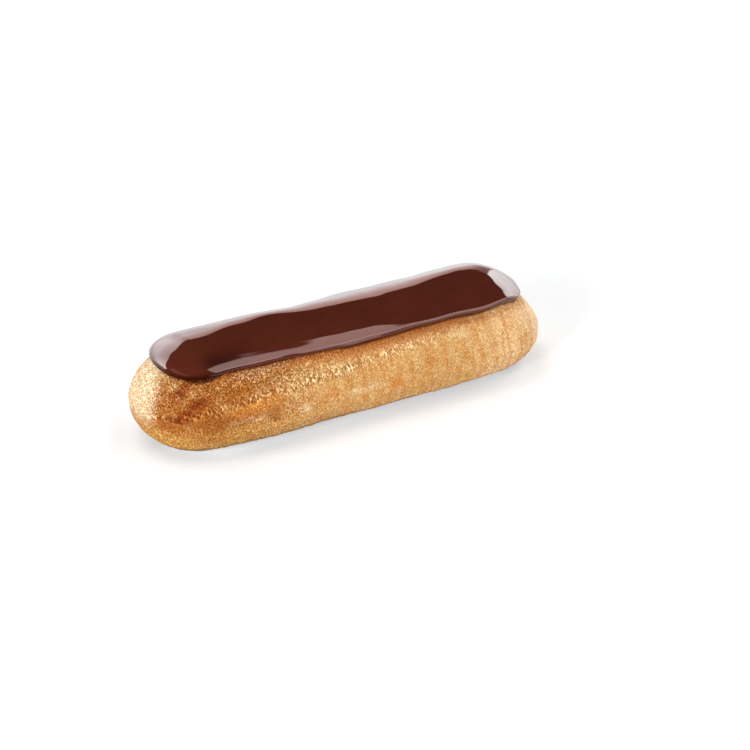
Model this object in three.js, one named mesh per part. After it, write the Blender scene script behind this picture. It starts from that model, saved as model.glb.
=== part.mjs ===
import * as THREE from "three";
import { mergeVertices } from "three/addons/utils/BufferGeometryUtils.js";

// A whole chocolate eclair, in millimetres: a baked choux pastry with a chocolate glaze on top.
// +Z is up and +X runs along the pastry. The origin lies on the flat baked base, below the middle.

// Driving dimensions of the choux pastry
const LENGTH = 140;
const WIDTH = 42.7;
const CRUST_HEIGHT = 28.6;
const WIDEST_HEIGHT = 12.5; // height of the broadest line above the base
const BASE_SINK = 1.5; // how far the round underside would sag below the base if no tray had flattened it
const LEFT_CAP = 20; // length of each rounded end
const RIGHT_CAP = 20.5;
const BEND = -1.5; // sideways bow of the middle, towards the front
const WIDTH_TAPER = 0.065; // the right end is this share wider, and the left end narrower
const HEIGHT_TAPER = -0.03; // and this share lower than the middle

// Roundness of the sections and ends: 2 is an ellipse, more is squarer
const CAP_POWER = 2.05;
const UPPER_POWER = 2.02;
const LOWER_POWER = 2.37;
// How fast the top and the underside close in at the ends, compared with the sides
const TOP_CLOSING = 1.75;
const BASE_CLOSING = 0.93;

// Relief of the crust
const LUMP = 0.35; // soft unevenness from rising in the oven
const LUMP_WAVES = [
  { share: 1, along: 7.1, around: 1, phase: 1.3 },
  { share: 0.6, along: 12.7, around: 2, phase: 0 },
  { share: 0.4, along: 19, around: -3, phase: 0.8 },
];
const LUMP_BELOW_GLAZE = 0.3; // share of the lumps that is left below the glaze
const RIDGE = 0.2; // faint grooves that a piping nozzle leaves along the sides
const RIDGES_AROUND = 15;
const RIDGE_SWAY = 1.4; // radians that the grooves wind up and down by
const SEAM_HEIGHT = 0.4; // the cracked seam that climbs slowly along each flank
const SEAM_WIDTH = 0.13; // half width of the seam, in radians round the section
const FRONT_SEAM_ANGLE = Math.PI * 0.82;
const BACK_SEAM_ANGLE = Math.PI * 0.12;
const SEAM_CLIMB = 0.31; // radians that each seam climbs from the left end to the middle

// Where the relief fades out, as a sine of the angle round the section, or as an end's share
const FADE_BELOW_GLAZE = [0.5, 0.75];
const LUMP_FADE = [0.5, 0.9];
const FADE_TO_BASE = [0.55, 0.85];
const FADE_TO_TIP = [0.8, 0.15];

// Driving dimensions of the glaze
const GLAZE_LEFT = -61.4;
const GLAZE_RIGHT = 62.4;
const GLAZE_WIDTH = 31.0;
const GLAZE_THICKNESS = 2.3;
const GLAZE_OFFSET = 1.1; // the glaze lies this far behind the pastry's centreline
const GLAZE_SHIFT = -0.3; // the right end is this much further forwards, and the left end further back
const GLAZE_LEFT_CAP = 11;
const GLAZE_RIGHT_CAP = 19;
const GLAZE_CAP_POWER = 2.2;
const GLAZE_CORNER_POWER = 2.9; // the front corner of the right end is squarer
const BEAD_RADIUS = 3.4; // width of the rounded rim, seen from above
const BEAD_FOOT = 0.7; // how far the rim overhangs its own foot
const BEAD_MIDDLE = 0.4; // share of the thickness at which the rim bulges out furthest
const OUTLINE_WANDER = 0.3; // the glaze sways this far from side to side as it runs along
const WANDER_LENGTH = 63;
const WANDER_START = -6; // where it sways furthest to the front
const RIPPLE_SHARE = 0.4; // a shorter ripple in the edge, as a share of the sway
const RIPPLE_LENGTH = 15;
const GLAZE_GAP = 0.3; // clearance between the crust and the glaze

// Fineness of the meshes
const STATIONS = 48;
const AROUND = 64;
const GLAZE_STRAIGHT_STEPS = 24;
const GLAZE_CAP_STEPS = 12;
const BEAD_STEPS = 4;
const PLATEAU_STEPS = 5;
const MERGE_DISTANCE = 0.001;

const HALF = LENGTH / 2;

const clamp01 = (value) => Math.min(Math.max(value, 0), 1);

// 1 before the fade starts and 0 after it ends, with a smooth passage between.
const fade = (value, [start, end]) => {
  const share = clamp01((value - end) / (start - end));
  return share * share * (3 - 2 * share);
};
const signedPower = (value, power) => Math.sign(value) * Math.abs(value) ** power;

// Share of the full section that is left at x: 1 along the middle, 0 at each tip.
function endShare(x) {
  const into = Math.max((LEFT_CAP - HALF - x) / LEFT_CAP, (x - HALF + RIGHT_CAP) / RIGHT_CAP);
  return (1 - clamp01(into) ** CAP_POWER) ** (1 / CAP_POWER);
}

const centreline = (x) => BEND * (1 - (x / HALF) ** 2);
const halfWidth = (x) => (WIDTH / 2) * (1 + (WIDTH_TAPER * x) / HALF) * endShare(x);

// A raised, cracked seam that climbs along one flank.
function seam(angle, middle, climb, x) {
  const away = (angle - middle - (climb * x) / HALF) / SEAM_WIDTH;
  return SEAM_HEIGHT * Math.exp(-away * away);
}

// Height of the crust's relief over the plain form. It fades out at the tips and at the base.
function relief(x, angle) {
  const along = x / HALF;
  const waves = LUMP_WAVES.map(
    (wave) => wave.share * Math.sin(wave.along * along + wave.around * angle + wave.phase),
  );
  const lumps = LUMP * waves.reduce((sum, wave) => sum + wave, 0);
  const grooves = RIDGE * Math.cos(RIDGES_AROUND * angle + RIDGE_SWAY * Math.sin(Math.PI * along));
  const frontSeam = seam(angle, FRONT_SEAM_ANGLE, -SEAM_CLIMB, x);
  const backSeam = seam(angle, BACK_SEAM_ANGLE, SEAM_CLIMB, x);
  const height = Math.sin(angle);
  const lumpsLeft = LUMP_BELOW_GLAZE + (1 - LUMP_BELOW_GLAZE) * fade(height, LUMP_FADE);
  const lines = fade(height, FADE_BELOW_GLAZE) * (grooves + frontSeam + backSeam);
  return fade(endShare(x), FADE_TO_TIP) * fade(-height, FADE_TO_BASE) * (lumpsLeft * lumps + lines);
}

// A point of the crust: angle 0 is the back, a quarter turn is the top and half a turn the front.
function crustPoint(x, angle) {
  const share = endShare(x);
  const upper = Math.sin(angle) >= 0;
  const power = 2 / (upper ? UPPER_POWER : LOWER_POWER);
  const rise = (CRUST_HEIGHT - WIDEST_HEIGHT) * (1 + (HEIGHT_TAPER * x) / HALF);
  const reach = upper ? rise * share ** TOP_CLOSING : (WIDEST_HEIGHT + BASE_SINK) * share ** BASE_CLOSING;
  const height = relief(x, angle);
  const y = (halfWidth(x) + height) * signedPower(Math.cos(angle), power);
  const z = WIDEST_HEIGHT + (reach + height) * signedPower(Math.sin(angle), power);
  return new THREE.Vector3(x, centreline(x) + y, Math.max(z, 0));
}

// The crust's surface point above a place in plan, and its outward normal.
function crustTop(x, y) {
  const across = Math.min(Math.abs(y - centreline(x)) / halfWidth(x), 1);
  const steep = Math.acos(across ** (UPPER_POWER / 2));
  const angle = y > centreline(x) ? steep : Math.PI - steep;
  const step = 0.02;
  const along = crustPoint(x + step, angle).sub(crustPoint(x - step, angle));
  const round = crustPoint(x, angle + step).sub(crustPoint(x, angle - step));
  return { point: crustPoint(x, angle), normal: round.cross(along).normalize() };
}

// A mesh from rows of points, each row closed on itself, with a first and a last tip.
function closedSkin(firstTip, rows, lastTip) {
  const count = rows[0].length;
  const points = [firstTip, ...rows.flat(), lastTip];
  const at = (row, column) => 1 + row * count + (column % count);
  const last = points.length - 1;
  const triangles = [];
  for (let column = 0; column < count; column += 1) {
    triangles.push(0, at(0, column + 1), at(0, column));
    for (let row = 0; row < rows.length - 1; row += 1) {
      const [a, b] = [at(row, column), at(row, column + 1)];
      const [c, d] = [at(row + 1, column), at(row + 1, column + 1)];
      triangles.push(a, b, d, a, d, c);
    }
    triangles.push(last, at(rows.length - 1, column), at(rows.length - 1, column + 1));
  }
  return indexedGeometry(points, triangles);
}

function indexedGeometry(points, triangles) {
  const geometry = new THREE.BufferGeometry().setFromPoints(points);
  geometry.setIndex(triangles);
  return geometry;
}

// The choux pastry, from tip to tip, with its stations closest together at the rounded ends.
function chouxGeometry() {
  const rows = [];
  for (let station = 1; station < STATIONS; station += 1) {
    const x = -HALF * Math.cos((Math.PI * station) / STATIONS);
    const row = [];
    for (let step = 0; step < AROUND; step += 1) {
      row.push(crustPoint(x, (2 * Math.PI * step) / AROUND));
    }
    rows.push(row);
  }
  const tip = (x) => new THREE.Vector3(x, centreline(x), WIDEST_HEIGHT);
  return closedSkin(tip(-HALF), rows, tip(HALF));
}

// The glaze's outline in plan, as pairs of an edge point and the spine point that it faces.
function glazeOutline() {
  const spineLeft = GLAZE_LEFT + GLAZE_LEFT_CAP;
  const spineRight = GLAZE_RIGHT - GLAZE_RIGHT_CAP;
  const pairs = [];
  const add = (x, side, capLength, turn) => {
    const spine = new THREE.Vector2(x, centreline(x) + GLAZE_OFFSET + (GLAZE_SHIFT * x) / HALF);
    const sway = -side * Math.cos((2 * Math.PI * (x - WANDER_START)) / WANDER_LENGTH);
    const ripple = Math.sin((2 * Math.PI * x) / RIPPLE_LENGTH + 2 * side);
    const wander = OUTLINE_WANDER * (sway + RIPPLE_SHARE * ripple);
    const halfAcross = (GLAZE_WIDTH / 2) * (1 + (WIDTH_TAPER * x) / HALF) + wander;
    const frontRight = Math.sin(turn) < 0 && Math.cos(turn) > 0;
    const power = 2 / (frontRight ? GLAZE_CORNER_POWER : GLAZE_CAP_POWER);
    const across = halfAcross * signedPower(Math.sin(turn), power);
    const along = capLength * signedPower(Math.cos(turn), power);
    const edge = new THREE.Vector2(x + along, spine.y + across);
    pairs.push({ edge, spine });
  };
  for (let step = 0; step < GLAZE_STRAIGHT_STEPS; step += 1) {
    add(THREE.MathUtils.lerp(spineRight, spineLeft, step / GLAZE_STRAIGHT_STEPS), 1, 0, Math.PI / 2);
  }
  for (let step = 0; step < GLAZE_CAP_STEPS; step += 1) {
    const share = step / GLAZE_CAP_STEPS;
    add(spineLeft, 1 - 2 * share, GLAZE_LEFT_CAP, Math.PI * (0.5 + share));
  }
  for (let step = 0; step < GLAZE_STRAIGHT_STEPS; step += 1) {
    add(THREE.MathUtils.lerp(spineLeft, spineRight, step / GLAZE_STRAIGHT_STEPS), -1, 0, -Math.PI / 2);
  }
  for (let step = 0; step < GLAZE_CAP_STEPS; step += 1) {
    const share = step / GLAZE_CAP_STEPS;
    add(spineRight, 2 * share - 1, GLAZE_RIGHT_CAP, Math.PI * (share - 0.5));
  }
  return pairs;
}

// The glaze's section from the spine outwards over the top, round the bead and back underneath:
// each step is how far it lies in from the edge, as a length or a share of the way to the spine,
// and how high above the crust.
function glazeProfile() {
  const steps = [];
  for (let step = 0; step < PLATEAU_STEPS; step += 1) {
    steps.push({ towardsSpine: 1 - step / PLATEAU_STEPS, height: GLAZE_THICKNESS });
  }
  for (let step = BEAD_STEPS; step >= 0; step -= 1) {
    const turn = (Math.PI / 2) * (step / BEAD_STEPS);
    const height = GLAZE_THICKNESS * (BEAD_MIDDLE + (1 - BEAD_MIDDLE) * Math.sin(turn));
    steps.push({ inset: BEAD_RADIUS * (1 - Math.cos(turn)), height });
  }
  steps.push({ inset: BEAD_FOOT, height: 0 });
  for (let step = 0; step <= PLATEAU_STEPS; step += 1) {
    steps.push({ towardsSpine: step / PLATEAU_STEPS, height: 0 });
  }
  return steps;
}

// A point of the glaze, laid off along the crust's normal.
function glazePoint({ edge, spine }, step) {
  const reach = edge.distanceTo(spine);
  const beadShare = BEAD_RADIUS / reach;
  const inwards =
    step.towardsSpine === undefined ? step.inset / reach : beadShare + (1 - beadShare) * step.towardsSpine;
  const place = edge.clone().lerp(spine, inwards);
  const { point, normal } = crustTop(place.x, place.y);
  return point.addScaledVector(normal, GLAZE_GAP + step.height);
}

// The chocolate glaze: rings from the spine over the top and the bead to the spine underneath.
function glazeGeometry() {
  const outline = glazeOutline();
  const rings = glazeProfile().map((step) => outline.map((pair) => glazePoint(pair, step)));
  const points = rings.flat();
  const count = outline.length;
  const triangles = [];
  const addTriangle = (...corners) => {
    const [a, b, c] = corners.map((index) => points[index]);
    const shortest = Math.min(a.distanceTo(b), b.distanceTo(c), c.distanceTo(a));
    if (shortest > MERGE_DISTANCE) {
      triangles.push(...corners);
    }
  };
  for (let ring = 0; ring < rings.length - 1; ring += 1) {
    for (let column = 0; column < count; column += 1) {
      const next = (column + 1) % count;
      const [a, b] = [ring * count + column, ring * count + next];
      addTriangle(a, a + count, b + count);
      addTriangle(a, b + count, b);
    }
  }
  return mergeVertices(indexedGeometry(points, triangles), MERGE_DISTANCE);
}

function material(colour, roughness) {
  return new THREE.MeshStandardMaterial({ color: colour, roughness, metalness: 0 });
}

const choux = new THREE.Mesh(chouxGeometry(), material(0xc98f4c, 0.85));
choux.name = "choux_pastry";
const glaze = new THREE.Mesh(glazeGeometry(), material(0x4a2018, 0.12));
glaze.name = "chocolate_glaze";

// The bow and the taper put the outline off centre, so the whole is set back over the origin.
const eclair = new THREE.Group();
eclair.add(choux, glaze);
const middle = new THREE.Box3().setFromObject(eclair).getCenter(new THREE.Vector3());
eclair.children.forEach((mesh) => mesh.geometry.translate(-middle.x, -middle.y, 0));

export default eclair;
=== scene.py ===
import math

import bpy
import numpy as np
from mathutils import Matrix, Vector


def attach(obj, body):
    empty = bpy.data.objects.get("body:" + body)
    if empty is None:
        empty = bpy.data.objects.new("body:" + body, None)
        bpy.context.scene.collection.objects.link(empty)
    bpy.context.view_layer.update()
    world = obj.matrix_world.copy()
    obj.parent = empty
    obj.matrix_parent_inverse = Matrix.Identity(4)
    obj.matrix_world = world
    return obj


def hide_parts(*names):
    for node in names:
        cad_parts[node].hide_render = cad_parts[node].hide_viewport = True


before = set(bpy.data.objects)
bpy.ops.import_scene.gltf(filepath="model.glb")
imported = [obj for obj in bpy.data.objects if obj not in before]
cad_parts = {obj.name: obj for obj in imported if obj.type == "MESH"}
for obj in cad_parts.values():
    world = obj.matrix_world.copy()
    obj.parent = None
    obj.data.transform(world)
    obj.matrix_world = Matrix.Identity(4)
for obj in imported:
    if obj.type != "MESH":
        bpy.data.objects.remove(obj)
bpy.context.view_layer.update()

MM = 0.001

# Camera, as fitted to the photograph
VIEW_AZIMUTH = math.radians(-28.74)
VIEW_ELEVATION = math.radians(27.77)
VIEW_DISTANCE = 489.35 * MM
VIEW_HEIGHT = 14.34 * MM
AIM_RIGHT = 9.94 * MM
AIM_DOWN = 7.3 * MM
LENS, SENSOR_WIDTH = 74.9, 36
NEAREST_SEEN, FARTHEST_SEEN = 0.01, 100

# The crust's plain form, in millimetres, without its relief
FORM_SHIFT = (0.2, 0.9)
HALF_LENGTH, LEFT_CAP, RIGHT_CAP, CAP_POWER = 70.0, 20.0, 20.5, 2.05
MIDDLE_HALF_WIDTH, WIDTH_TAPER, BOW = 21.35, 0.065, 1.5
WIDEST_HEIGHT, RISE, RISE_TAPER, TOP_CLOSING, TOP_POWER = 12.5, 16.1, 0.03, 1.75, 2.02

# Angles round the section: heights are stretched to widths, less above the broadest line than below it
LOWER_STRETCH, UPPER_LOSS = 1.53, 0.2
# The cracked seam in degrees: its angle at the back's middle, the front's lead and the climb per millimetre
SEAM_ANGLE, SEAM_FRONT_LEAD, SEAM_CLIMB = 158.4, 10.8, 0.254
SECOND_SEAM_BELOW = 29.0

# Where the skin is crackled: degrees round for the reaches, and passages from none to all along or round
SEAM_REACH, SEAM_STRETCH = 10.0, (42.0, 8.0)
SECOND_SEAM_REACH, SECOND_SEAM_MIDDLE, SECOND_SEAM_LENGTH = 7.0, -10.0, 42.0
CRACKLED_LEFT, CRACKLED_LOW = (-12.0, -32.0), (192.0, 208.0)
CRACKLED_TOP, CRACKLED_TOP_STRETCH = (166.0, 142.0), (0.0, -16.0)
PLAIN_CRACKLE, SEAM_CRACKLE, SECOND_CRACKLE = 0.42, 0.5, 0.15
LEFT_CRACKLE, TOP_CRACKLE, LOW_CRACKLE = 0.25, 0.35, 0.1
CRACKLE_PATCH_SIZE, LEAST_CRACKLE, MORE_CRACKLE = 6.0, 0.65, 0.7

# The crust's mesh
CRUST_GRID = 0.39 * MM
CRUST_SMOOTHING = 9
CRUST_TRIANGLES = 195000
UNSEEN_THINNING = 10
# What the glaze hides: middle along, reach along, reach across and least height, in millimetres
HIDDEN_MIDDLE, HIDDEN_LENGTH, HIDDEN_WIDTH, HIDDEN_HEIGHT = 0.5, 58, 13.5, 20
UNDERSIDE_HEIGHT = 0.15

# The crust's relief, in millimetres; marks are given by their width along, their height round and their lean
CRACKLES = (1.15, 1.9, 0.2)
DIMPLES = (3.2, 6.0)
CRACKLE_DEPTH, DIMPLE_DEPTH, SKIN_SINK = 0.15, 0.42, 0.13
RELIEF_START = (0.25, 2.0)
# The foot of the front flank, which spread a little in the oven
FOOT_SPREAD, FOOT_TOP, FOOT_BOTTOM, FOOT_LEFT = 0.45, (6.0, 2.0), (0.05, 0.3), (-46.0, -30.0)

# The solid glaze's rounded rim, in millimetres
GLAZE_HALF_LENGTH, GLAZE_HALF_WIDTH = 60, 16
RIM_HEIGHT, RIM_TOLERANCE = 1.22, 0.2
RIM_RISE = 1.38
RIM_RADIUS = 3.4
# How far the rim's foot lies inside its widest line, and how deep it sinks into the crust
FOOT_INSET = 0.7
FOOT_SINK = 0.9

# Parts of the glaze, as passages from where they start to where they are full, in millimetres
BACK_HALF, BACK_EDGE, FRONT_EDGE, FRONT_LIP = (-7, 5), (5, 13), (-4, -13), (-9, -13)
NEAR_CORNER_ALONG, NEAR_CORNER_ACROSS = (50, 60), (0, -8)
UPPER_RIM, OUTER_FOOT, OUTER_LIP = (0.9, 1.6), (6, 3), (3, 0)
SKIN_HEIGHT, LIP_HEIGHT = 1.5, 1.2

# How the glaze settled, by the place along it in millimetres
FOLD_SOFTNESS = 2.5
FRONT_FOLD_PLACE = -14.8
FRONT_RIM_RADIUS = (
    (-70, 3.4), (-50, 3.4), (-44, 4.2), (-20, 4.3), (-14, 4.0), (-8, 3.4), (6, 3.2), (9, 2.4), (12, 1.4),
    (16, 0.8), (70, 0.8),
)
FRONT_RIM_SHIFT = ((6, 0), (14, 0.45), (44, 0.45), (56, 0.15), (62, 0))
FRONT_RIM_SLOPE = ((5, 0), (10, -0.06), (14, -0.16), (48, -0.16), (54, -0.10), (62, -0.05))
FRONT_SAG = ((8, 0), (18, 0.35), (46, 0.35), (56, 0))
BACK_RIM_RADIUS = ((-70, 3.4), (50, 3.4), (58, 2.2), (70, 2.0))
BACK_RIM_LIFT = (
    (-62, 0.5), (-50, 0.6), (-45, 0.55), (-41, 0.4), (-38, 0.25), (-35, 0.1), (-30, 0.05), (-25, -0.15),
    (-22, -0.15), (-18, -0.35), (-14.5, -0.7), (-11, -0.6), (-5, -0.5), (0, -0.2), (5, 0), (14, 0.2),
    (20, 0.1), (25, 0), (31, -0.5), (38, -0.5), (44, -0.6), (48, -0.3), (55, 0), (62, 0),
)
# The shoulder behind the crown: place along, place across and extra slope in degrees
SHOULDER = (
    (-60, 0, 0), (-50, 1, -1), (-45, 1.4, 0.7), (-41, 2.2, 2.1), (-38, 3.0, 4), (-35, 4.0, 5.4),
    (-30, 4.2, 6.1), (-25.4, 5.0, 8.6), (-22, 4.2, 6.9), (-18, 3.0, 5), (-14.5, 2.2, 2.5), (-11, 1.0, 0.2),
    (-5, 0.2, -0.6), (-2, -0.4, -1.4), (1, -0.1, -0.4), (6, 0.5, 0.5), (10, 0.6, 0), (13.6, -0.6, -2.4),
    (18, -0.1, -1.4), (25, 0.6, 0.5), (30, 1, 0.6), (35, 1.6, 1.1), (38, 2.9, 3.1), (44, 3.1, 3.9),
    (48, 2.2, 2.8), (51, 0, 0.5), (60, -3, 0),
)

# Tones of the baking, and the tone of the painted contact shadow
TONES = {
    # The tone of the painted contact shadow below the glaze
    "contact_shadow": (0.045, 0.010, 0.003),
    "umber": (0.20, 0.11, 0.04),
    "rust": (0.20, 0.036, 0.006),
    "brown": (0.30, 0.092, 0.013),
    "orange": (0.49, 0.18, 0.033),
    "amber": (0.42, 0.13, 0.026),
    "olive": (0.48, 0.23, 0.052),
    "golden": (0.538, 0.308, 0.114),
    "peach": (0.68, 0.425, 0.200),
    "cream": (0.80, 0.61, 0.37),
    "pale": (0.77, 0.56, 0.325),
}

# Uneven baking, and a painted highlight at the right end: tone, place along in mm, degrees round the section,
# reach along and round, strength
PATCHES = (
    ("orange", -42, 168, 14, 11, 0.8),
    ("orange", -35, 163, 8, 10, 0.35),
    ("brown", -34, 182, 3, 18, 0.7),
    ("brown", -46, 146, 16, 8, 0.7),
    ("brown", -56, 158, 10, 24, 0.9),
    ("brown", -53, 180, 8, 16, 0.7),
    ("rust", -56.5, 125, 6, 8, 0.7),
    ("rust", -60, 131, 4.5, 8, 0.8),
    ("rust", -62.5, 141, 4.5, 9, 0.35),
    ("brown", -64.5, 148, 5, 15, 0.6),
    ("rust", -57, 150, 4.5, 7, 0.9),
    ("rust", -60, 157, 4.5, 7, 1.0),
    ("rust", -63, 167, 4.5, 8, 1.0),
    ("brown", -65, 182, 7, 18, 0.7),
    ("brown", -55, 200, 9, 16, 0.5),
    ("brown", -64, 200, 6, 12, 0.4),
    ("rust", -55, 145, 6, 8, 0.4),
    ("rust", -55, 172, 6, 12, 0.25),
    ("olive", -65, 206, 8, 18, 0.7),
    ("orange", 6, 186, 2.5, 18, 0.8),
    ("orange", -9, 168, 3, 12, 0.5),
    ("orange", -16, 172, 2, 14, 0.5),
    ("orange", 20, 165, 3, 14, 0.6),
    ("brown", -29, 142, 12, 11, 0.3),
    ("cream", -36, 131, 14, 7, 0.15),
    ("cream", -41, 181, 9, 6, 0.2),
    ("cream", -24, 184, 3, 12, 0.35),
    ("cream", -3, 181, 10, 7, 0.28),
    ("cream", 31, 147, 6, 8, 0.3),
    # A painted highlight on the right end
    ("cream", 62, 150, 12, 22, 0.35),
)
PATCH_EDGE, PATCH_CORE = 1.0, 0.15

# Where the broad tones lie: passages from none to all, along, across, upwards or away from the glaze, in mm
RIGHT_PALING, RIGHT_TIP, LEFT_BROWNING, LOW_FLANK = (28.0, 50.0), (54.0, 66.0), (-15.0, -47.0), (13.5, 6.7)
COLLAR, COLLAR_LEFT, SOLE = (4.7, 1.5), (-62.0, -54.0), (4.6, 3.0)
# The pale left end: partly less-baked crust, partly painted light where the key lamp falls
PALE_CORNER, PALE_TIP, PALE_BACK, PALE_HEIGHT = (49.5, 58.5), (-54.0, -63.0), (9.0, 19.0), (8.0, 16.5)
# The dark line below the glaze: a rust tone that is partly painted contact shade, a painted contact shadow,
# and the stretch where that painted shadow is broader
CONTACT_RUST_AND_SHADE, CONTACT_SHADOW = (0.8, 0.4), (0.3, -0.3)
SHADOW_REACH, SHADOW_MORE, SHADOW_MIDDLE, SHADOW_LENGTH = 0.15, 0.95, -52.5, 7.0
# Half the width of the upright crackle and of the dusting along the seam, in degrees, and the dusting's ends
UPRIGHT_REACH, DUSTED_REACH, DUSTED_RIGHT, DUSTED_LEFT = 9.0, 13.0, (45.0, 14.0), (-40.0, -12.0)

# Marks on the crust, by their width along, their height round and their lean, in millimetres
STREAKS = (2.0, 13.0, 0.1)
MOTTLING = (4.0, 5.0)
UPRIGHT_GRAINS = (0.47, 0.95, 0.15)
EVEN_GRAINS = (0.45, 0.54, 0.1)
ROWS = (9.0, 1.3)
# How far patches are pushed about, along in millimetres and round in degrees
SWAY = (4.0, 8.0)
# How much the fine crackle darkens its gaps and lightens its grains, in red, green and blue: partly their own
# tone, partly painted shade in the gaps and painted highlight on the grains
CRACKLE_TONE_AND_SHADE = (0.75, 1.1, 1.6)
BUMP_DEPTH = 0.12 * MM
CRUST_ROUGHNESS, CRUST_SPECULAR = 0.65, 0.1

# The glaze's colours and gloss
GLAZE_REDDISH = (0.072, 0.0135, 0.0065, 1)
GLAZE_DARK = (0.055, 0.0095, 0.005, 1)
GLAZE_POOL = (0.024, 0.004, 0.003, 1)
# A painted contact shadow at the glaze's foot, where its reflection is also taken away
GLAZE_FOOT_SHADE = (0.03, 0.004, 0.0015, 1)
GLAZE_CLOUDS = 9.0
GLAZE_ROUGHNESS, GLAZE_IOR, GLAZE_SPECULAR = 0.035, 1.5, 0.5
# Where the painted shade at the glaze's foot reaches higher, and where the glaze is reddish or pooled, in
# millimetres along and across
FOOT_SHADE_LEFT, FOOT_SHADE_BACK, REDDISH_LEFT = (-48.0, -53.0), (10.0, 4.0), (-40.0, -58.0)
POOL_LEFT, POOL_RIGHT, POOL_MIDDLE, POOL_WIDTH = (-54.5, -48.5), (-34.0, -48.0), -11.5, 6.0

# The table, in metres; its tint near the eclair makes up for the warm light that the crust throws on it
TABLE_SIZE, NEAR_HALF_LENGTH, NEAR_FADE = 3, 0.045, (0.014, 0.029)
TABLE_NEAR, TABLE_FAR = (0.575, 0.66, 0.742, 1), (0.64, 0.653, 0.657, 1)
TABLE_ROUGHNESS = 0.9
WHITE = (1, 1, 1, 1)
# Its glow: everywhere, far away, along the front and at the front's left, with the passages of each
TABLE_GLOW, FAR_GLOW, FRONT_GLOW, LEFT_GLOW = 0.3, 0.7, 0.14, 0.08
FAR_FADE, FRONT_SIDE, FRONT_FADE = (0.05, 0.3), (0.0, -0.006), (0.0185, 0.0135)
LEFT_START, LEFT_FADE = (-0.036, -0.054), (0.026, 0.020)

# Studio panels as seen from the eclair: azimuth from and to, elevation from and to, soft edge, light, warmth.
# Azimuth 0 is the front (-Y), 90 the right end (+X), 180 the back and 270 the left end, in degrees.
PANELS = {
    "softbox": (18, 102, 27, 67, 2, 4.5, 0.8),
    "softbox_edge": (20, 44, 32, 42, 2, 6.6, 0.8),
    "front_card": (24, 52, -10, 24, 3, 4.2, 1.0),
    "right_card": (60, 116, -5, 36, 3, 3.6, 0.2),
    "left_strip": (240, 300, 28, 40, 4, 0.9, 0.5),
}
PALE_LIGHT, WARM_LIGHT = (1, 0.96, 0.97, 1), (1, 0.63, 0.58, 1)
# The room's light, the share of light that dull surfaces get, and the white that the camera sees behind
ROOM_LIGHT, DULL_SHARE, SEEN_LIGHT = 0.04, 0.4, 1.2

# The backdrop: a first height or light, and then what it gains from one angle to another, in degrees
BACKDROP_TOP = (21.5, (152.0, 190.0, 17.5), (143.0, 120.0, 20.0), (203.0, 238.0, -16.0))
BACKDROP_FOOT = (1.0, (203.0, 232.0, 14.0))
MIDDLE_LIGHT, RIGHT_LIGHT = (2.2, (150.0, 139.0, -1.5)), (2.4, (-2.0, 36.0, 4.4))
# The light that its left part adds, and where its parts and its sides begin
LEFT_LIGHT, LEFT_RISE, FAR_LEFT_LIGHT, FAR_LEFT_PART = 2.0, (0.0, 17.0), 5.0, (200.0, 232.0)
RIGHT_PART, LEFT_PART, RIGHT_SIDE, LEFT_SIDE = (138.2, 136.8), (163.0, 176.0), (97.0, 103.0), (238.0, 234.0)
# Half the height over which the backdrop's top and foot fade, in degrees, and the light left below its foot
TOP_FADE, FOOT_FADE, FOOT_LIGHT, FOOT_PART = 0.8, 3.0, 0.25, (195.0, 205.0)
# Where its light is warm: just below its top and to the right, and less to the left
WARM_TOP, WARM_RIGHT, COOL_LEFT = (-20.0, -1.0), (150.0, 141.0), (160.0, 175.0)

# Lamps: azimuth and elevation in degrees, distance and size in metres, power in watts
LAMPS = {
    "key_lamp": (296, 20, 1.2, 0.4, 10.8),
    "front_fill": (345, 8, 1.2, 0.9, 5.0),
    "top_light": (225, 72, 1.4, 0.9, 8.4),
}


# Pieces
def select_only(piece):
    bpy.ops.object.select_all(action="DESELECT")
    piece.select_set(True)
    bpy.context.view_layer.objects.active = piece


def apply_modifier(piece, kind, **settings):
    select_only(piece)
    modifier = piece.modifiers.new(kind.lower(), kind)
    for name, value in settings.items():
        setattr(modifier, name, value)
    bpy.ops.object.modifier_apply(modifier=modifier.name)


def copy_of_solid(node, name):
    """A piece of its own with the merged mesh of a CAD node, as quads where its triangles pair up."""
    piece = bpy.data.objects.new(name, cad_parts[node].data.copy())
    bpy.context.scene.collection.objects.link(piece)
    piece.data.name = name
    piece.data.materials.clear()
    select_only(piece)
    bpy.ops.object.mode_set(mode="EDIT")
    bpy.ops.mesh.select_all(action="SELECT")
    bpy.ops.mesh.remove_doubles(threshold=0.002 * MM)
    bpy.ops.mesh.tris_convert_to_quads(face_threshold=math.radians(60), shape_threshold=math.radians(60))
    bpy.ops.object.mode_set(mode="OBJECT")
    return piece


def shade(piece):
    select_only(piece)
    bpy.ops.object.shade_smooth()


def get_places(piece):
    places = np.empty(len(piece.data.vertices) * 3)
    piece.data.vertices.foreach_get("co", places)
    return places.reshape(-1, 3) / MM


def set_places(piece, places):
    piece.data.vertices.foreach_set("co", (places * MM).ravel())
    piece.data.update()


def keep_attribute(piece, name, values):
    """Keeps a number for each point, for the material."""
    piece.data.attributes.new(name, "FLOAT", "POINT").data.foreach_set("value", values)


# Formulas for node trees
class Value:
    """A number that a node gives. It is reckoned with like any number, and each step adds a Math node."""

    def __init__(self, graph, socket):
        self.graph = graph
        self.socket = socket

    def __add__(self, other):
        return self.graph.math("ADD", self, other)

    def __radd__(self, other):
        return self.graph.math("ADD", other, self)

    def __sub__(self, other):
        return self.graph.math("SUBTRACT", self, other)

    def __rsub__(self, other):
        return self.graph.math("SUBTRACT", other, self)

    def __mul__(self, other):
        return self.graph.math("MULTIPLY", self, other)

    def __rmul__(self, other):
        return self.graph.math("MULTIPLY", other, self)

    def __truediv__(self, other):
        return self.graph.math("DIVIDE", self, other)

    def __abs__(self):
        return self.graph.math("ABSOLUTE", self)


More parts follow.
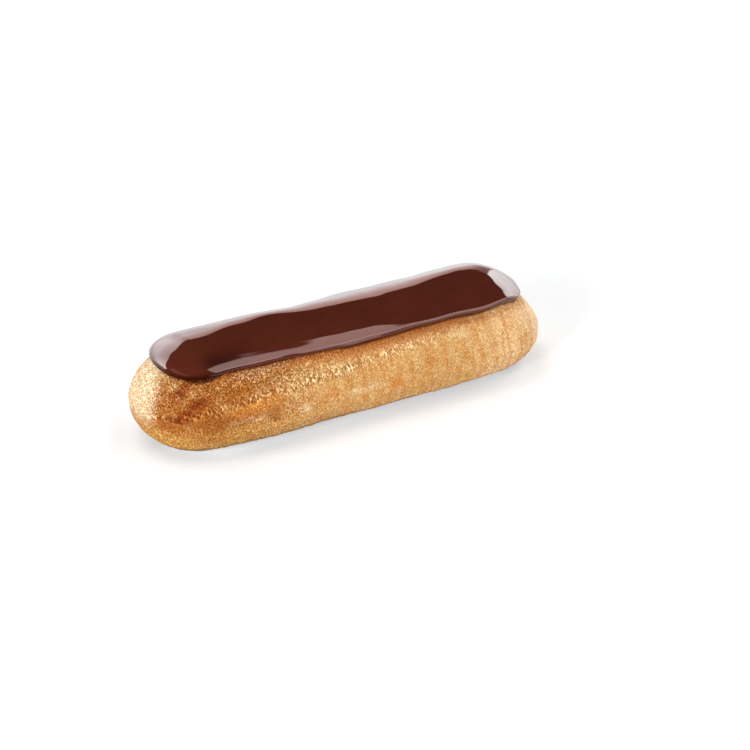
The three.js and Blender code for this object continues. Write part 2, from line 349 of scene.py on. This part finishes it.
class Graph:
    """A node tree that is written as formulas."""

    def __init__(self, tree):
        self.tree = tree
        tree.nodes.clear()

    def add(self, kind, inputs=None, **settings):
        node = self.tree.nodes.new(kind)
        for name, value in settings.items():
            setattr(node, name, value)
        for name, value in (inputs or {}).items():
            socket = value.socket if isinstance(value, Value) else value
            if isinstance(socket, bpy.types.NodeSocket):
                self.tree.links.new(socket, node.inputs[name])
            else:
                node.inputs[name].default_value = socket
        return node

    def math(self, operation, *numbers):
        node = self.add("ShaderNodeMath", dict(enumerate(numbers)), operation=operation)
        return Value(self, node.outputs[0])

    def clamp(self, value):
        return self.math("MINIMUM", self.math("MAXIMUM", value, 0.0), 1.0)

    def step(self, value, start, end):
        """0 before the start, 1 past the end, and a smooth passage between."""
        inputs = {"Value": value, "From Min": start, "From Max": end}
        node = self.add("ShaderNodeMapRange", inputs, interpolation_type="SMOOTHSTEP")
        return Value(self, node.outputs[0])

    def hump(self, value, middle, reach):
        """1 at the middle, falling smoothly to 0 at the reach."""
        return self.step(abs(value - middle), reach, 0.0)

    def split(self, vector):
        node = self.add("ShaderNodeSeparateXYZ", {0: vector})
        return [Value(self, socket) for socket in node.outputs]

    def join(self, x, y, z):
        return self.add("ShaderNodeCombineXYZ", {0: x, 1: y, 2: z}).outputs[0]

    def in_millimetres(self, place):
        return self.add("ShaderNodeVectorMath", {0: place, 3: 1 / MM}, operation="SCALE").outputs[0]

    def attribute(self, name):
        return Value(self, self.add("ShaderNodeAttribute", attribute_name=name).outputs["Fac"])

    def mix(self, share, first, second):
        inputs = {0: share, 6: first, 7: second}
        return self.add("ShaderNodeMix", inputs, data_type="RGBA", clamp_factor=True).outputs[2]

    def noise(self, place, size=1.0, detail=2.0, roughness=0.5, distortion=0.0):
        inputs = {"Vector": place, "Scale": 1 / size, "Detail": detail}
        inputs.update({"Roughness": roughness, "Distortion": distortion})
        return Value(self, self.add("ShaderNodeTexNoise", inputs).outputs[0])

    def grains(self, place, gain=5.0, detail=1.5, distortion=0.8):
        """Small grains with gaps between them: from -1 in the gaps to 1 on the grains."""
        noise = self.noise(place, detail=detail, distortion=distortion)
        return self.math("MAXIMUM", self.math("MINIMUM", (noise - 0.5) * gain, 1.0), -1.0)


class CrustPlace:
    """Where a point of the crust lies, in millimetres and degrees round the section."""

    def __init__(self, graph, place):
        self.graph = graph
        self.x, self.y, self.z = graph.split(graph.in_millimetres(place))
        along = self.x / HALF_LENGTH
        across = self.y + BOW * (1 - along * along)
        rise = self.z - WIDEST_HEIGHT
        upper = graph.math("GREATER_THAN", rise, 0.0)
        stretched = rise * (LOWER_STRETCH - UPPER_LOSS * upper)
        turn = graph.math("ARCTAN2", stretched, -1.0 * abs(across))
        degrees = turn * math.degrees(1)
        below = graph.math("LESS_THAN", degrees, 0.0)
        self.front = graph.math("LESS_THAN", across, 0.0)
        # 90 on top, 180 at the broadest line and 270 underneath, on either side
        self.angle = degrees + 360.0 * below

    def leaning(self, wide, tall, lean=0.35):
        """Coordinates for marks that are this wide along the crust and tall round it."""
        return self.graph.join((self.x + self.z * lean) / wide, self.y / tall, self.z / tall)

    def rows(self, long, fine, climb=0.06):
        """Coordinates for rows that run along the crust."""
        return self.graph.join(self.x / long, self.y / fine, (self.z - climb * self.x) / fine)

    def plain(self):
        return self.graph.join(self.x, self.y, self.z)

    def swayed(self, along, round_it):
        """The place along and round the crust, pushed about so that patches get ragged outlines."""
        inputs = {"Vector": self.plain(), "Scale": 0.22, "Detail": 4.0, "Roughness": 0.6}
        ragged = self.graph.split(self.graph.add("ShaderNodeTexNoise", inputs).outputs["Color"])
        return self.x + (ragged[0] - 0.5) * (2 * along), self.angle + (ragged[1] - 0.5) * (2 * round_it)

    def seam_angle(self):
        """The middle of the cracked seam, which climbs along each flank."""
        return SEAM_ANGLE - SEAM_FRONT_LEAD * self.front - SEAM_CLIMB * self.x

    def crackling(self):
        """How strongly the skin is crackled: most along the seam and at the left end."""
        graph = self.graph
        seam = graph.hump(self.angle, self.seam_angle(), SEAM_REACH) * graph.step(self.x, *SEAM_STRETCH)
        second = graph.hump(self.angle, self.seam_angle() + SECOND_SEAM_BELOW, SECOND_SEAM_REACH)
        second = second * graph.hump(self.x, SECOND_SEAM_MIDDLE, SECOND_SEAM_LENGTH)
        left = graph.step(self.x, *CRACKLED_LEFT)
        top = graph.step(self.angle, *CRACKLED_TOP) * graph.step(self.x, *CRACKLED_TOP_STRETCH)
        low = graph.step(self.angle, *CRACKLED_LOW)
        patches = graph.noise(self.plain(), size=CRACKLE_PATCH_SIZE, detail=2.0)
        total = PLAIN_CRACKLE + SEAM_CRACKLE * seam + SECOND_CRACKLE * second
        total = total + LEFT_CRACKLE * left + TOP_CRACKLE * top + LOW_CRACKLE * low
        return total * (LEAST_CRACKLE + MORE_CRACKLE * patches)


# Closed curves and smooth passages
def smooth_loop(points, steps=8):
    """A closed curve that runs smoothly through the points."""
    before, after, beyond = np.roll(points, 1, 0), np.roll(points, -1, 0), np.roll(points, -2, 0)
    parts = []
    for step in range(steps):
        t = step / steps
        curve = 2 * points + (after - before) * t + (2 * before - 5 * points + 4 * after - beyond) * t ** 2
        parts.append(0.5 * (curve + (3 * points - before - 3 * after + beyond) * t ** 3))
    return np.stack(parts, axis=1).reshape(-1, 2)


def distance_to_loop(places, loop):
    nearest = np.full(len(places), np.inf)
    for start, end in zip(loop, np.roll(loop, -1, 0)):
        way = end - start
        share = np.clip(((places - start) @ way) / (way @ way), 0, 1)
        nearest = np.minimum(nearest, np.linalg.norm(places - start - share[:, None] * way, axis=1))
    return nearest


def inside_loop(places, loop):
    inside = np.zeros(len(places), bool)
    for start, end in zip(loop, np.roll(loop, -1, 0)):
        spans = (start[1] > places[:, 1]) != (end[1] > places[:, 1])
        across = (places[:, 1] - start[1]) / (end[1] - start[1] + 1e-9)
        inside ^= spans & (places[:, 0] < start[0] + across * (end[0] - start[0]))
    return inside


def eased(x, table, column=1):
    """A table's value at x, with its corners rounded off."""
    rows = np.array(table, dtype=float)
    offsets, weights = (-3.0, -1.5, 0.0, 1.5, 3.0), (1, 2, 3, 2, 1)
    total = sum(w * np.interp(x + o, rows[:, 0], rows[:, column]) for o, w in zip(offsets, weights))
    return total / sum(weights)


def rounding(share):
    return np.sqrt(1 - (1 - np.clip(share, 0, 1)) ** 2)


def soft_step(value, start, end):
    share = np.clip((value - start) / (end - start), 0, 1)
    return share * share * (3 - 2 * share)


# Where the glaze meets the crust
def crust_form(x, y):
    """Height of the crust's plain form above a place in plan."""
    x, y = x - FORM_SHIFT[0], y - FORM_SHIFT[1]
    into = np.maximum((LEFT_CAP - HALF_LENGTH - x) / LEFT_CAP, (x - HALF_LENGTH + RIGHT_CAP) / RIGHT_CAP)
    share = (1 - np.clip(into, 0, 0.999) ** CAP_POWER) ** (1 / CAP_POWER)
    along = x / HALF_LENGTH
    half = MIDDLE_HALF_WIDTH * (1 + WIDTH_TAPER * along) * share
    across = np.minimum(np.abs(y + BOW * (1 - along ** 2)) / half, 0.995)
    rise = RISE * (1 - RISE_TAPER * along) * share ** TOP_CLOSING
    return WIDEST_HEIGHT + rise * (1 - across ** TOP_POWER) ** (1 / TOP_POWER)


def feet_on_crust(points, rounds=14, probe=0.05):
    """For points of the glaze: their feet on the crust in plan, their height above it and its normal."""
    feet = points[:, :2].copy()
    for _ in range(rounds):
        x, y = feet.T
        height = crust_form(x, y)
        slope_x = (crust_form(x + probe, y) - crust_form(x - probe, y)) / (2 * probe)
        slope_y = (crust_form(x, y + probe) - crust_form(x, y - probe)) / (2 * probe)
        normal = np.stack([-slope_x, -slope_y, np.ones_like(x)], axis=1)
        normal /= np.linalg.norm(normal, axis=1, keepdims=True)
        above = np.einsum("ij,ij->i", points - np.stack([x, y, height], axis=1), normal)
        feet = (points - normal * above[:, None])[:, :2]
    return feet, above, normal


def rim_of_glaze():
    """The glaze's outline in plan, as a closed curve."""
    solid = copy_of_solid("chocolate_glaze", "rim")
    feet, above, _ = feet_on_crust(get_places(solid))
    bpy.data.objects.remove(solid)
    rim = feet[np.abs(above - RIM_HEIGHT) < RIM_TOLERANCE]
    turn = np.arctan2(rim[:, 1] / GLAZE_HALF_WIDTH, rim[:, 0] / GLAZE_HALF_LENGTH)
    return smooth_loop(rim[np.argsort(turn)])


def drawn_in(points):
    """How far the glaze drew in at its near right corner."""
    return soft_step(points[:, 0], *NEAR_CORNER_ALONG) * soft_step(points[:, 1], *NEAR_CORNER_ACROSS)


def beyond_glaze(places, loop):
    """How far places lie outside the foot of the glaze's rim, in plan."""
    loop = loop[::3]
    loop = loop - np.outer(drawn_in(loop), (1, 0))
    away = distance_to_loop(places, loop)
    return np.where(inside_loop(places, loop), -away, away) + FOOT_INSET


# Crust
def relief_tree():
    """Lifts the crust's skin into crackles and keeps their height for the colours."""
    tree = bpy.data.node_groups.new("crust_relief", "GeometryNodeTree")
    tree.interface.new_socket("Geometry", in_out="INPUT", socket_type="NodeSocketGeometry")
    tree.interface.new_socket("Geometry", in_out="OUTPUT", socket_type="NodeSocketGeometry")
    graph = Graph(tree)
    start = graph.add("NodeGroupInput")
    place = CrustPlace(graph, graph.add("GeometryNodeInputPosition").outputs[0])
    strength = place.crackling()
    crackles = graph.grains(place.leaning(*CRACKLES))
    dimples = graph.noise(place.leaning(*DIMPLES), detail=2.0) - 0.5
    height = strength * crackles * CRACKLE_DEPTH + dimples * DIMPLE_DEPTH - SKIN_SINK
    lift = height * graph.step(place.z, *RELIEF_START) * MM
    normal = graph.add("GeometryNodeInputNormal").outputs[0]
    offset = graph.add("ShaderNodeVectorMath", {0: normal, 3: lift}, operation="SCALE")
    foot = graph.step(place.z, *FOOT_TOP) * graph.step(place.z, *FOOT_BOTTOM)
    foot = foot * place.front * graph.step(place.x, *FOOT_LEFT)
    spread = graph.join(0.0, foot * (-FOOT_SPREAD * MM), 0.0)
    offset = graph.add("ShaderNodeVectorMath", {0: offset.outputs[0], 1: spread}, operation="ADD")
    keep = {"Geometry": start.outputs[0], "Name": "relief", "Value": crackles * strength}
    stored = graph.add("GeometryNodeStoreNamedAttribute", keep, data_type="FLOAT", domain="POINT")
    moved = graph.add("GeometryNodeSetPosition", {"Geometry": stored.outputs[0], "Offset": offset.outputs[0]})
    graph.add("NodeGroupOutput", {0: moved.outputs[0]})
    return tree


def thin_crust(crust):
    """Thins the crust's mesh, most of all where the glaze or the table hides it."""
    x, y, z = get_places(crust).T
    covered = (np.abs(y) < HIDDEN_WIDTH) & (np.abs(x - HIDDEN_MIDDLE) < HIDDEN_LENGTH) & (z > HIDDEN_HEIGHT)
    unseen = np.nonzero(covered | (z < UNDERSIDE_HEIGHT))[0]
    group = crust.vertex_groups.new(name="unseen")
    group.add([int(i) for i in unseen], 1.0, "REPLACE")
    ratio = CRUST_TRIANGLES / sum(len(face.vertices) - 2 for face in crust.data.polygons)
    unseen_first = {"vertex_group": group.name, "vertex_group_factor": UNSEEN_THINNING}
    apply_modifier(crust, "DECIMATE", ratio=ratio, **unseen_first)
    crust.vertex_groups.clear()


def bake_crust(loop):
    crust = copy_of_solid("choux_pastry", "baked_crust")
    apply_modifier(crust, "REMESH", mode="VOXEL", voxel_size=CRUST_GRID, adaptivity=0)
    apply_modifier(crust, "SMOOTH", factor=0.5, iterations=CRUST_SMOOTHING)
    thin_crust(crust)
    keep_attribute(crust, "from_glaze", beyond_glaze(get_places(crust)[:, :2], loop))
    apply_modifier(crust, "NODES", node_group=relief_tree())
    shade(crust)
    return crust


# Glaze
def ripples(x, y):
    """Faint ripples in the glaze's skin."""
    broad = 0.02 * np.sin(x / 2.9 + 0.35 * y + 0.8)
    fine = 0.015 * np.sin(x / 1.7 - 0.5 * y + 2.1 * np.sin(x / 9.0))
    return broad + fine


def pooling(x, y):
    """How far the skin rose or fell as it set: behind the crown, at the back rim and at the front rim."""
    middle, slope = eased(x, SHOULDER, 1), np.tan(np.radians(eased(x, SHOULDER, 2)))
    lift = slope * FOLD_SOFTNESS * (np.tanh((y - middle) / FOLD_SOFTNESS) + 1)
    lift += eased(x, BACK_RIM_LIFT) * soft_step(y, *BACK_EDGE)
    fold = np.tanh((y - FRONT_FOLD_PLACE) / FOLD_SOFTNESS) - 1
    lift += eased(x, FRONT_RIM_SLOPE) * FOLD_SOFTNESS * fold
    lift -= eased(x, FRONT_SAG) * soft_step(y, *FRONT_EDGE)
    lift += ripples(x, y)
    return lift


def pour_glaze(loop):
    glaze = copy_of_solid("chocolate_glaze", "poured_glaze")
    apply_modifier(glaze, "SUBSURF", levels=2, render_levels=2)
    places = get_places(glaze)
    feet, above, normal = feet_on_crust(places)
    inset = distance_to_loop(feet, loop)
    x, y = places[:, 0], places[:, 1]

    # The rim's rounding
    back = soft_step(feet[:, 1], *BACK_HALF)
    radius = eased(x, FRONT_RIM_RADIUS) * (1 - back) + eased(x, BACK_RIM_RADIUS) * back
    upper = soft_step(above, *UPPER_RIM)
    rise = RIM_RISE * (rounding(inset / radius) - rounding(inset / RIM_RADIUS)) * upper

    # The foot of the rim sinks into the crust, so that no gap shows
    sink = FOOT_SINK * (1 - np.clip(above / RIM_HEIGHT, 0, 1)) * soft_step(inset, *OUTER_FOOT)
    lift = pooling(x, y) * np.clip(above / SKIN_HEIGHT, 0, 1)
    places += normal * (rise - sink)[:, None]
    places[:, 2] += lift
    shift = eased(x, FRONT_RIM_SHIFT) * soft_step(inset, *OUTER_LIP) * soft_step(y, *FRONT_LIP)
    places[:, 1] -= shift * np.clip(above / LIP_HEIGHT, 0, 1)
    places[:, 0] -= drawn_in(places)
    set_places(glaze, places)
    keep_attribute(glaze, "rim_height", above)
    apply_modifier(glaze, "SUBSURF", levels=1, render_levels=1)
    shade(glaze)
    return glaze


# Materials
def new_material(name):
    material = bpy.data.materials.new(name)
    material.use_nodes = True
    return material, Graph(material.node_tree)


class Skin:
    """The crust's colour, which is laid on in coats of tones."""

    def __init__(self, graph, tone):
        self.graph = graph
        self.colour = (*TONES[tone], 1)

    def coat(self, tone, share):
        self.colour = self.graph.mix(share, self.colour, (*TONES[tone], 1))


def bake_broadly(skin, place, along, round_it, uneven, from_glaze):
    """Broad tones: darker at the left end and under the glaze, paler to the right, olive low down."""
    graph = place.graph
    streaks = graph.noise(place.leaning(*STREAKS), detail=3.0, roughness=0.6)
    left = graph.step(along, *LEFT_BROWNING)
    low = graph.step(place.z + (place.angle - round_it) * 0.24, *LOW_FLANK)
    paling = graph.step(along, *RIGHT_PALING)
    collar = graph.step(from_glaze + uneven * 1.2, *COLLAR) * (1.0 - 0.6 * paling)
    skin.coat("peach", paling)
    skin.coat("cream", graph.step(along, *RIGHT_TIP) * 0.5)
    skin.coat("orange", graph.clamp((streaks - 0.5) * 5.0 + uneven * 2.0 + 0.25) * 0.6)
    skin.coat("amber", collar * graph.step(place.x, *COLLAR_LEFT) * graph.clamp(0.8 + uneven))
    browning = left * graph.clamp(0.85 + 2.0 * uneven) * (1.0 - 0.25 * low) * (1.0 - 0.3 * collar)
    skin.coat("brown", browning)
    skin.coat("olive", low * graph.clamp(0.05 + 0.7 * left + uneven))


def bake_patches(skin, along, round_it):
    graph = skin.graph
    for tone, middle, angle, reach, width, cover in PATCHES:
        away = (along - middle) / reach
        aside = (round_it - angle) / width
        spot = graph.step(graph.math("SQRT", away * away + aside * aside), PATCH_EDGE, PATCH_CORE)
        skin.coat(tone, spot * cover)


def pale_and_lit_end(place, uneven):
    """Where the left end is pale, partly as less-baked crust and partly as painted light on the side that the
    key lamp lights: all of its tip but the front corner, less towards the back, and most higher up.
    """
    graph = place.graph
    ragged = uneven * 2.4
    end = graph.step(place.y - 0.9 * place.x + ragged, *PALE_CORNER)
    end = end * graph.step(place.x + ragged, *PALE_TIP)
    end = end * (1.0 - 0.7 * graph.step(place.y + ragged, *PALE_BACK))
    return end, end * graph.step(place.z + ragged, *PALE_HEIGHT)


def paint_contact_shade_and_dark_sole(skin, place, uneven, from_glaze, end):
    """Painted contact shade below the glaze, partly a rust tone and partly a painted shadow, and the crust
    darker towards its base.
    """
    graph = place.graph
    browned = 1.0 - 0.8 * end
    # A rust tone just below the glaze, partly painted contact shade
    skin.coat("rust", graph.step(from_glaze + uneven * 0.3, *CONTACT_RUST_AND_SHADE) * browned * 0.85)
    reach = SHADOW_REACH + SHADOW_MORE * graph.hump(place.x, SHADOW_MIDDLE, SHADOW_LENGTH)
    # A painted contact shadow just below the glaze, broader at the front-left
    skin.coat("contact_shadow", graph.step(from_glaze - reach, *CONTACT_SHADOW) * browned * 0.8)
    skin.coat("umber", graph.step(place.z + uneven * 1.5, *SOLE) * 0.72)


def crust_material():
    material, graph = new_material("baked_choux")
    place = CrustPlace(graph, graph.add("ShaderNodeTexCoord").outputs["Object"])
    strength = place.crackling()
    relief, from_glaze = graph.attribute("relief"), graph.attribute("from_glaze")
    along, round_it = place.swayed(*SWAY)
    mottling = graph.noise(place.leaning(*MOTTLING), detail=3.0, roughness=0.6)
    uneven = mottling - 0.5
    skin = Skin(graph, "golden")
    bake_broadly(skin, place, along, round_it, uneven, from_glaze)
    bake_patches(skin, along, round_it)
    end, pale_and_lit_cover = pale_and_lit_end(place, uneven)
    # Painted light on the lit left end, along with its paler baking
    skin.coat("pale", pale_and_lit_cover * 0.85)
    # Painted contact shade below the glaze, and the crust darker towards its base
    paint_contact_shade_and_dark_sole(skin, place, uneven, from_glaze, end)

    # Fine crackle: pale grains with dark gaps between them, upright along the seam; partly their own tone,
    # partly painted shade in the gaps and painted highlight on the grains
    seam = graph.hump(round_it, place.seam_angle(), UPRIGHT_REACH)
    upright = graph.grains(place.leaning(*UPRIGHT_GRAINS), detail=0.0, distortion=0.5)
    even = graph.grains(place.leaning(*EVEN_GRAINS), detail=0.0, distortion=0.5)
    rows = graph.noise(place.rows(*ROWS), detail=1.0)
    pattern = even + (upright - even) * graph.clamp(seam * 1.5)
    weave = strength * (1.0 - 0.3 * end) * (pattern * (0.7 + 0.6 * rows) + 0.25 * relief)
    dusted = graph.hump(round_it, place.seam_angle(), DUSTED_REACH) * graph.step(along, *DUSTED_RIGHT)
    dusted = dusted * graph.step(along, *DUSTED_LEFT)
    skin.coat("cream", dusted * graph.clamp(mottling * 2.4 - 0.8) * 0.18)
    # Painted shade in the gaps and painted highlight on the grains, on top of their tone
    tint = [graph.math("POWER", 2.0, weave * depth) for depth in CRACKLE_TONE_AND_SHADE]
    colour = graph.add("ShaderNodeVectorMath", {0: skin.colour, 1: graph.join(*tint)}, operation="MULTIPLY")

    bump = graph.add("ShaderNodeBump", {"Height": weave, "Distance": BUMP_DEPTH, "Strength": 1.0})
    inputs = {"Base Color": colour.outputs[0], "Roughness": CRUST_ROUGHNESS - 0.1 * pattern}
    inputs.update({"Normal": bump.outputs[0], "Specular IOR Level": CRUST_SPECULAR})
    shader = graph.add("ShaderNodeBsdfPrincipled", inputs)
    graph.add("ShaderNodeOutputMaterial", {"Surface": shader.outputs["BSDF"]})
    return material


def glaze_material():
    material, graph = new_material("chocolate_glaze")
    place = graph.in_millimetres(graph.add("ShaderNodeTexCoord").outputs["Object"])
    x, y, _ = graph.split(place)
    # Painted contact shadow: the glaze's foot is dark and unreflecting, reaching higher at the left end short
    # of its back
    wider_foot_shade = graph.step(x, *FOOT_SHADE_LEFT) * graph.step(y, *FOOT_SHADE_BACK)
    raised = graph.step(graph.attribute("rim_height") - 1.3 * wider_foot_shade, 0.2, 0.8 + 0.3 * (1.0 - wider_foot_shade))
    clouds = graph.noise(place, size=GLAZE_CLOUDS, detail=3.0, roughness=0.6)
    shaded = graph.clamp((clouds - 0.5) * 2.0 + 0.3 - 0.5 * graph.step(x, *REDDISH_LEFT))
    pool = graph.step(x, *POOL_LEFT) * graph.step(x, *POOL_RIGHT) * graph.hump(y, POOL_MIDDLE, POOL_WIDTH)
    body = graph.mix(shaded, GLAZE_REDDISH, GLAZE_DARK)
    body = graph.mix(pool * 0.85, body, GLAZE_POOL)
    inputs = {"Base Color": graph.mix(raised, GLAZE_FOOT_SHADE, body), "Roughness": GLAZE_ROUGHNESS}
    inputs.update({"IOR": GLAZE_IOR, "Specular IOR Level": raised * GLAZE_SPECULAR})
    shader = graph.add("ShaderNodeBsdfPrincipled", inputs)
    graph.add("ShaderNodeOutputMaterial", {"Surface": shader.outputs["BSDF"]})
    return material


# Studio
def lay_floor():
    bpy.ops.mesh.primitive_plane_add(size=TABLE_SIZE, location=(0, 0, 0))
    floor = bpy.context.object
    floor.name = "white_table"
    material, graph = new_material("white_table")
    x, y, _ = graph.split(graph.add("ShaderNodeTexCoord").outputs["Object"])
    beyond = graph.math("MAXIMUM", abs(x) - NEAR_HALF_LENGTH, 0.0)
    away = graph.math("SQRT", beyond * beyond + y * y)
    colour = graph.mix(graph.step(away, *NEAR_FADE), TABLE_NEAR, TABLE_FAR)
    front = graph.step(y, *FRONT_SIDE)
    glow = TABLE_GLOW + FAR_GLOW * graph.step(away, *FAR_FADE)
    glow = glow + FRONT_GLOW * front * graph.step(away, *FRONT_FADE)
    glow = glow + LEFT_GLOW * front * graph.step(x, *LEFT_START) * graph.step(away, *LEFT_FADE)
    inputs = {"Base Color": colour, "Roughness": TABLE_ROUGHNESS}
    inputs.update({"Emission Color": WHITE, "Emission Strength": glow})
    shader = graph.add("ShaderNodeBsdfPrincipled", inputs)
    graph.add("ShaderNodeOutputMaterial", {"Surface": shader.outputs["BSDF"]})
    floor.data.materials.append(material)


def grown(graph, value, first, *gains):
    """A first number, and what it gains as a value passes from one place to another."""
    total = first
    for start, end, gain in gains:
        total = total + gain * graph.step(value, start, end)
    return total


def hang_backdrop(graph, azimuth, elevation):
    """The light and the warmth of a backdrop whose top rises and whose light grows towards both sides."""
    top = grown(graph, azimuth, *BACKDROP_TOP)
    foot = grown(graph, azimuth, *BACKDROP_FOOT)
    right = graph.step(azimuth, *RIGHT_PART)
    left = graph.step(azimuth, *LEFT_PART)
    middle_glow = grown(graph, azimuth, *MIDDLE_LIGHT)
    left_glow = LEFT_LIGHT * left * graph.step(elevation, *LEFT_RISE)
    left_glow = left_glow + FAR_LEFT_LIGHT * graph.step(azimuth, *FAR_LEFT_PART)
    right_glow = grown(graph, elevation, *RIGHT_LIGHT)
    glow = middle_glow + left_glow + (right_glow - middle_glow) * right
    raised = graph.step(elevation - foot, -FOOT_FADE, FOOT_FADE)
    raised = 1.0 + (raised - 1.0) * graph.step(azimuth, *FOOT_PART)
    wide = graph.step(azimuth, *RIGHT_SIDE) * graph.step(azimuth, *LEFT_SIDE)
    light = glow * (FOOT_LIGHT + (1 - FOOT_LIGHT) * raised) * wide
    light = light * graph.step(elevation - top, TOP_FADE, -TOP_FADE)
    warmth = graph.step(elevation - top, *WARM_TOP) + 0.5 * graph.step(azimuth, *WARM_RIGHT)
    warmth = graph.clamp(warmth) * (1.0 - 0.7 * graph.step(azimuth, *COOL_LEFT)) * (1.0 - 0.95 * right)
    return light, graph.math("MAXIMUM", warmth, 1.0 - raised)


def light_studio():
    """A dark room with a backdrop and bright panels, which the glaze mirrors."""
    world = bpy.data.worlds.new("studio")
    bpy.context.scene.world = world
    world.use_nodes = True
    graph = Graph(world.node_tree)
    x, y, z = graph.split(graph.add("ShaderNodeTexCoord").outputs["Generated"])
    elevation = graph.math("ARCSINE", z) * math.degrees(1)
    azimuth = graph.math("ARCTAN2", -1.0 * x, y) * math.degrees(1) + 180.0
    light, warmth = hang_backdrop(graph, azimuth, elevation)
    total = ROOM_LIGHT + light
    colour = graph.mix(warmth, PALE_LIGHT, WARM_LIGHT)
    for west, east, low, high, edge, brightness, warm in PANELS.values():
        wide = graph.step(azimuth, west - edge, west + edge) * graph.step(azimuth, east + edge, east - edge)
        tall = graph.step(elevation, low - edge, low + edge) * graph.step(elevation, high + edge, high - edge)
        total = graph.math("MAXIMUM", total, wide * tall * brightness)
        tint = [pale + (full - pale) * warm for pale, full in zip(PALE_LIGHT, WARM_LIGHT)]
        colour = graph.mix(wide * tall, colour, tint)
    rays = graph.add("ShaderNodeLightPath").outputs
    seen, mirrored = Value(graph, rays["Is Camera Ray"]), Value(graph, rays["Is Glossy Ray"])
    total = graph.math("MAXIMUM", total * (DULL_SHARE + (1 - DULL_SHARE) * mirrored), seen * SEEN_LIGHT)
    inputs = {"Color": graph.mix(mirrored, WHITE, colour), "Strength": total}
    background = graph.add("ShaderNodeBackground", inputs)
    graph.add("ShaderNodeOutputWorld", {"Surface": background.outputs[0]})


def way_to(azimuth, elevation):
    """The direction from the eclair to an azimuth and an elevation in radians; azimuth 0 is its front."""
    level = math.cos(elevation)
    return Vector((math.sin(azimuth) * level, -math.cos(azimuth) * level, math.sin(elevation)))


def hang_lamps():
    """Soft lamps aimed at the eclair, which light it but aren't mirrored in the glaze."""
    for name, (azimuth, elevation, distance, size, power) in LAMPS.items():
        way = way_to(math.radians(azimuth), math.radians(elevation))
        bpy.ops.object.light_add(type="AREA", location=way * distance)
        lamp = bpy.context.object
        lamp.name = name
        lamp.rotation_euler = way.to_track_quat("Z", "Y").to_euler()
        lamp.data.shape = "DISK"
        lamp.data.size = size
        lamp.data.energy = power
        lamp.visible_glossy = False
        lamp.visible_camera = False


def set_camera():
    back = way_to(VIEW_AZIMUTH, VIEW_ELEVATION)
    right = Vector((math.cos(VIEW_AZIMUTH), math.sin(VIEW_AZIMUTH), 0))
    up = back.cross(right)
    middle = Vector((0, 0, VIEW_HEIGHT))
    position = middle + back * VIEW_DISTANCE
    aim = middle + right * AIM_RIGHT - up * AIM_DOWN
    bpy.ops.object.camera_add(location=position)
    camera = bpy.context.object
    camera.rotation_euler = (aim - position).to_track_quat("-Z", "Y").to_euler()
    camera.data.lens = LENS
    camera.data.sensor_width = SENSOR_WIDTH
    camera.data.clip_start = NEAREST_SEEN
    camera.data.clip_end = FARTHEST_SEEN
    bpy.context.scene.camera = camera


set_camera()
lay_floor()
light_studio()
hang_lamps()
bpy.context.scene.view_settings.view_transform = "Standard"

rim = rim_of_glaze()
crust = bake_crust(rim)
crust.data.materials.append(crust_material())
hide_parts("choux_pastry")
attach(crust, "root")

glaze = pour_glaze(rim)
glaze.data.materials.append(glaze_material())
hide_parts("chocolate_glaze")
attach(glaze, "root")
